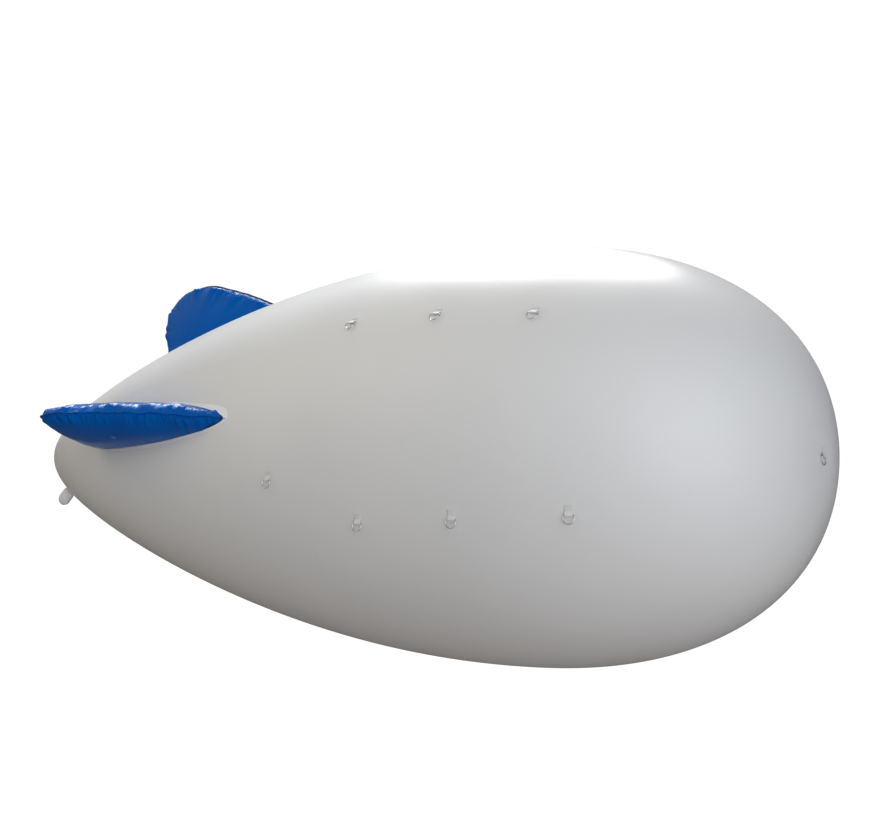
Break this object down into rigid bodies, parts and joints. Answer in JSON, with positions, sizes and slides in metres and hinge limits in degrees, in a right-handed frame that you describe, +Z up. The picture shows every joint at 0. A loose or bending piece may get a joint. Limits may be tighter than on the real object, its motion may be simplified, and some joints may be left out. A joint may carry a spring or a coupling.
{
  "type": "advertising blimp balloon",
  "caption": "Inflated tethered blimp with a blunt nose, a tapering tail, air-filled tail fins, a filling sleeve, and mooring D-rings along both sides.",
  "frame": {"origin": "on the hull's axis at the centre of buoyancy, where the air holds the balloon up", "axes": "+X to the nose, +Y to port, +Z up"},
  "size_m": [5.0399, 2.1966, 2.1966],
  "materials": {
    "hull_film": "glossy white PVC film",
    "disc_film": "glossy white PVC film",
    "fin_film": "glossy blue PVC film",
    "patch_film": "white PVC-coated webbing and patch",
    "ring_steel": "bright zinc-plated wire",
    "valve_plastic": "blue moulded PVC",
    "tie_cord": "twisted cord"
  },
  "bodies": {
    "envelope": {"gore_1": "hull_film", "gore_2": "hull_film", "gore_3": "hull_film", "gore_4": "hull_film", "gore_5": "hull_film", "gore_6": "hull_film", "gore_7": "hull_film", "gore_8": "hull_film", "nose_disc": "disc_film", "tail_dome": "disc_film", "fin_port": "fin_film", "fin_valve_port": "valve_plastic", "fin_starboard": "fin_film", "fin_valve_starboard": "valve_plastic", "fin_top": "fin_film", "fin_valve_top": "valve_plastic", "fill_sleeve": "hull_film", "sleeve_tie": "tie_cord", "patch_nose": "patch_film", "patch_port_upper_1": "patch_film", "patch_port_upper_2": "patch_film", "patch_port_upper_3": "patch_film", "patch_port_lower_1": "patch_film", "patch_port_lower_2": "patch_film", "patch_port_lower_3": "patch_film", "patch_port_lower_4": "patch_film", "patch_starboard_upper_1": "patch_film", "patch_starboard_upper_2": "patch_film", "patch_starboard_upper_3": "patch_film", "patch_starboard_lower_1": "patch_film", "patch_starboard_lower_2": "patch_film", "patch_starboard_lower_3": "patch_film", "patch_starboard_lower_4": "patch_film"},
    "ring_nose": {"ring_nose": "ring_steel"},
    "ring_port_upper_1": {"ring_port_upper_1": "ring_steel"},
    "ring_port_upper_2": {"ring_port_upper_2": "ring_steel"},
    "ring_port_upper_3": {"ring_port_upper_3": "ring_steel"},
    "ring_port_lower_1": {"ring_port_lower_1": "ring_steel"},
    "ring_port_lower_2": {"ring_port_lower_2": "ring_steel"},
    "ring_port_lower_3": {"ring_port_lower_3": "ring_steel"},
    "ring_port_lower_4": {"ring_port_lower_4": "ring_steel"},
    "ring_starboard_upper_1": {"ring_starboard_upper_1": "ring_steel"},
    "ring_starboard_upper_2": {"ring_starboard_upper_2": "ring_steel"},
    "ring_starboard_upper_3": {"ring_starboard_upper_3": "ring_steel"},
    "ring_starboard_lower_1": {"ring_starboard_lower_1": "ring_steel"},
    "ring_starboard_lower_2": {"ring_starboard_lower_2": "ring_steel"},
    "ring_starboard_lower_3": {"ring_starboard_lower_3": "ring_steel"},
    "ring_starboard_lower_4": {"ring_starboard_lower_4": "ring_steel"}
  },
  "joints": [
    {"name": "ring_nose_swing", "type": "hinge", "parent": "envelope", "child": "ring_nose", "pos_m": [2.0956, 0, 0], "axis": [0, -1, 0], "range_deg": [0, 150]},
    {"name": "ring_port_upper_1_swing", "type": "hinge", "parent": "envelope", "child": "ring_port_upper_1", "pos_m": [-0.11016, 0.96639, 0.48183], "axis": [0.9947, 0.0917, 0.0457], "range_deg": [0, 150]},
    {"name": "ring_port_upper_2_swing", "type": "hinge", "parent": "envelope", "child": "ring_port_upper_2", "pos_m": [0.41888, 0.99226, 0.49905], "axis": [0.9999, 0.0092, 0.0046], "range_deg": [0, 150]},
    {"name": "ring_port_upper_3_swing", "type": "hinge", "parent": "envelope", "child": "ring_port_upper_3", "pos_m": [0.96061, 0.96391, 0.49113], "axis": [0.9898, -0.127, -0.0647], "range_deg": [0, 150]},
    {"name": "ring_port_lower_1_swing", "type": "hinge", "parent": "envelope", "child": "ring_port_lower_1", "pos_m": [-0.50987, 0.9682, -0.34096], "axis": [0.9862, 0.1561, -0.055], "range_deg": [-19.2, 130.8]},
    {"name": "ring_port_lower_2_swing", "type": "hinge", "parent": "envelope", "child": "ring_port_lower_2", "pos_m": [0.0802, 0.94838, -0.55197], "axis": [0.9975, 0.0608, -0.0354], "range_deg": [-30.1, 119.9]},
    {"name": "ring_port_lower_3_swing", "type": "hinge", "parent": "envelope", "child": "ring_port_lower_3", "pos_m": [0.64339, 0.9735, -0.52857], "axis": [0.9994, -0.0301, 0.0163], "range_deg": [-28.5, 121.5]},
    {"name": "ring_port_lower_4_swing", "type": "hinge", "parent": "envelope", "child": "ring_port_lower_4", "pos_m": [1.23907, 0.90202, -0.48366], "axis": [0.9623, -0.2397, 0.1285], "range_deg": [-27.3, 122.7]},
    {"name": "ring_starboard_upper_1_swing", "type": "hinge", "parent": "envelope", "child": "ring_starboard_upper_1", "pos_m": [-0.11016, -0.96639, 0.48183], "axis": [-0.9947, 0.0917, -0.0457], "range_deg": [0, 150]},
    {"name": "ring_starboard_upper_2_swing", "type": "hinge", "parent": "envelope", "child": "ring_starboard_upper_2", "pos_m": [0.41888, -0.99226, 0.49905], "axis": [-0.9999, 0.0092, -0.0046], "range_deg": [0, 150]},
    {"name": "ring_starboard_upper_3_swing", "type": "hinge", "parent": "envelope", "child": "ring_starboard_upper_3", "pos_m": [0.96061, -0.96391, 0.49113], "axis": [-0.9898, -0.127, 0.0647], "range_deg": [0, 150]},
    {"name": "ring_starboard_lower_1_swing", "type": "hinge", "parent": "envelope", "child": "ring_starboard_lower_1", "pos_m": [-0.50987, -0.9682, -0.34096], "axis": [-0.9862, 0.1561, 0.055], "range_deg": [-19.2, 130.8]},
    {"name": "ring_starboard_lower_2_swing", "type": "hinge", "parent": "envelope", "child": "ring_starboard_lower_2", "pos_m": [0.0802, -0.94838, -0.55197], "axis": [-0.9975, 0.0608, 0.0354], "range_deg": [-30.1, 119.9]},
    {"name": "ring_starboard_lower_3_swing", "type": "hinge", "parent": "envelope", "child": "ring_starboard_lower_3", "pos_m": [0.64339, -0.9735, -0.52857], "axis": [-0.9994, -0.0301, -0.0163], "range_deg": [-28.5, 121.5]},
    {"name": "ring_starboard_lower_4_swing", "type": "hinge", "parent": "envelope", "child": "ring_starboard_lower_4", "pos_m": [1.23907, -0.90202, -0.48366], "axis": [-0.9623, -0.2397, -0.1285], "range_deg": [-27.3, 122.7]}
  ]
}
